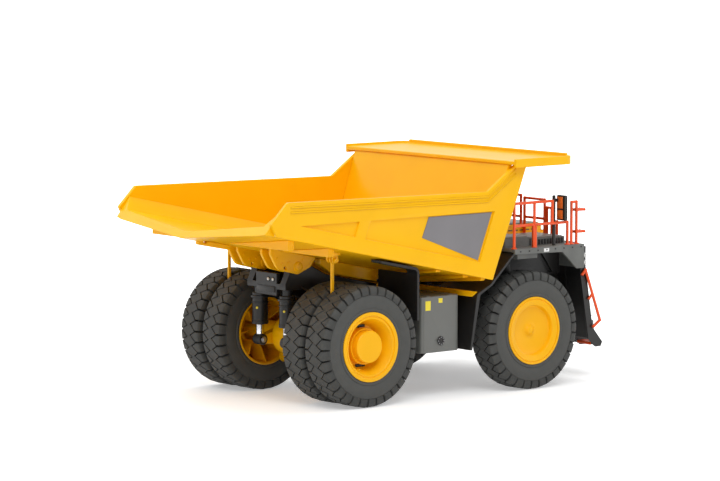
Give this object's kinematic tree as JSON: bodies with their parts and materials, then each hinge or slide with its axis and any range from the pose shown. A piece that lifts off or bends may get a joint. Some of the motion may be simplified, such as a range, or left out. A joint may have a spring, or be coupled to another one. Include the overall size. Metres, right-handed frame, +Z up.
{
  "type": "rigid dump truck scale model",
  "caption": "Scale model of a rigid mining dump truck with tipping bed, hoists, steered front wheels and twin rear wheels.",
  "frame": {"origin": "on the ground, midway along the model and on its centre plane", "axes": "+X forward, +Y to the left, +Z up"},
  "size_m": [0.2136, 0.117, 0.1034],
  "materials": {
    "yellow_paint": "gloss yellow enamel",
    "black_paint": "satin black enamel",
    "dark_grey": "satin dark grey enamel",
    "panel_grey": "satin grey enamel",
    "orange_paint": "gloss orange-red enamel",
    "tyre": "matt black rubber",
    "bright_steel": "bright plated rod",
    "window_glass": "clear glazing",
    "seat_black": "matt black moulding",
    "lamp_lens": "clear lens over a bright reflector"
  },
  "bodies": {
    "chassis": {"bumper": "black_paint", "cab_door": "yellow_paint", "cab_glass": "window_glass", "cab_inside": "seat_black", "cab_roof": "yellow_paint", "cab_shell": "yellow_paint", "deck": "dark_grey", "engine_block": "black_paint", "frame_rails": "black_paint", "front_axle": "black_paint", "front_mudguards": "black_paint", "fuel_tank": "dark_grey", "grille": "black_paint", "handrails": "orange_paint", "headlamps": "lamp_lens", "hood": "yellow_paint", "hydraulic_tank": "dark_grey", "mirrors": "black_paint", "rear_axle": "yellow_paint", "rear_mudguards": "black_paint", "rear_struts": "black_paint", "stairs": "black_paint"},
    "wheel_front_right": {"tyre_front_right": "tyre", "rim_front_right": "yellow_paint"},
    "wheel_front_left": {"tyre_front_left": "tyre", "rim_front_left": "yellow_paint"},
    "wheels_rear_right": {"tyres_rear_right": "tyre", "rim_rear_right": "yellow_paint"},
    "wheels_rear_left": {"tyres_rear_left": "tyre", "rim_rear_left": "yellow_paint"},
    "knuckle_right": {"knuckle_right": "black_paint"},
    "knuckle_left": {"knuckle_left": "black_paint"},
    "tie_rod": {"tie_rod": "black_paint"},
    "hoist_barrel_right": {"hoist_barrel_right": "yellow_paint"},
    "hoist_rod_right": {"hoist_rod_right": "bright_steel"},
    "hoist_barrel_left": {"hoist_barrel_left": "yellow_paint"},
    "hoist_rod_left": {"hoist_rod_left": "bright_steel"},
    "bed": {"bed_beams": "yellow_paint", "bed_canopy": "yellow_paint", "bed_floor": "yellow_paint", "bed_headboard": "yellow_paint", "bed_side_left": "yellow_paint", "bed_side_panels": "panel_grey", "bed_side_right": "yellow_paint", "rock_ejectors": "yellow_paint"}
  },
  "joints": [
    {"name": "steer_right", "type": "hinge", "parent": "chassis", "child": "knuckle_right", "pos_m": [0.0468, -0.03, 0.026], "axis": [0, 0, 1], "range_deg": [-25, 25]},
    {"name": "steer_left", "type": "hinge", "parent": "chassis", "child": "knuckle_left", "pos_m": [0.0468, 0.03, 0.026], "axis": [0, 0, 1], "range_deg": [-25, 25]},
    {"name": "tie_rod_slide", "type": "slide", "parent": "chassis", "child": "tie_rod", "axis": [0, 1, 0], "range_m": [-0.0045, 0.0045]},
    {"name": "wheel_spin_front_right", "type": "hinge", "parent": "knuckle_right", "child": "wheel_front_right", "pos_m": [0.0468, -0.0452, 0.026], "axis": [0, 1, 0], "continuous": true},
    {"name": "wheel_spin_rear_right", "type": "hinge", "parent": "chassis", "child": "wheels_rear_right", "pos_m": [-0.0447, -0.036, 0.026], "axis": [0, 1, 0], "continuous": true},
    {"name": "wheel_spin_front_left", "type": "hinge", "parent": "knuckle_left", "child": "wheel_front_left", "pos_m": [0.0468, 0.0452, 0.026], "axis": [0, 1, 0], "continuous": true},
    {"name": "wheel_spin_rear_left", "type": "hinge", "parent": "chassis", "child": "wheels_rear_left", "pos_m": [-0.0447, 0.036, 0.026], "axis": [0, 1, 0], "continuous": true},
    {"name": "bed_tip", "type": "hinge", "parent": "chassis", "child": "bed", "pos_m": [-0.0563, 0, 0.0581], "axis": [0, -1, 0], "range_deg": [0, 47]},
    {"name": "hoist_swing_right", "type": "hinge", "parent": "chassis", "child": "hoist_barrel_right", "pos_m": [-0.0367, -0.0174, 0.015], "axis": [0, -1, 0], "range_deg": [0, 23.31]},
    {"name": "hoist_slide_right", "type": "slide", "parent": "hoist_barrel_right", "child": "hoist_rod_right", "axis": [0.5963, 0, 0.8027], "range_m": [0, 0.03082]},
    {"name": "hoist_swing_left", "type": "hinge", "parent": "chassis", "child": "hoist_barrel_left", "pos_m": [-0.0367, 0.0174, 0.015], "axis": [0, -1, 0], "range_deg": [0, 23.31]},
    {"name": "hoist_slide_left", "type": "slide", "parent": "hoist_barrel_left", "child": "hoist_rod_left", "axis": [0.5963, 0, 0.8027], "range_m": [0, 0.03082]}
  ],
  "couplings": [
    {"joint": "steer_left", "follows": "steer_right", "ratio": 1},
    {"joint": "tie_rod_slide", "follows": "steer_right", "m_per_rad": -0.00886},
    {"joint": "hoist_swing_right", "follows": "bed_tip", "ratio": 0.48522},
    {"joint": "hoist_slide_right", "follows": "bed_tip", "m_per_rad": 0.036958},
    {"joint": "hoist_swing_left", "follows": "bed_tip", "ratio": 0.48522},
    {"joint": "hoist_slide_left", "follows": "bed_tip", "m_per_rad": 0.036958}
  ]
}
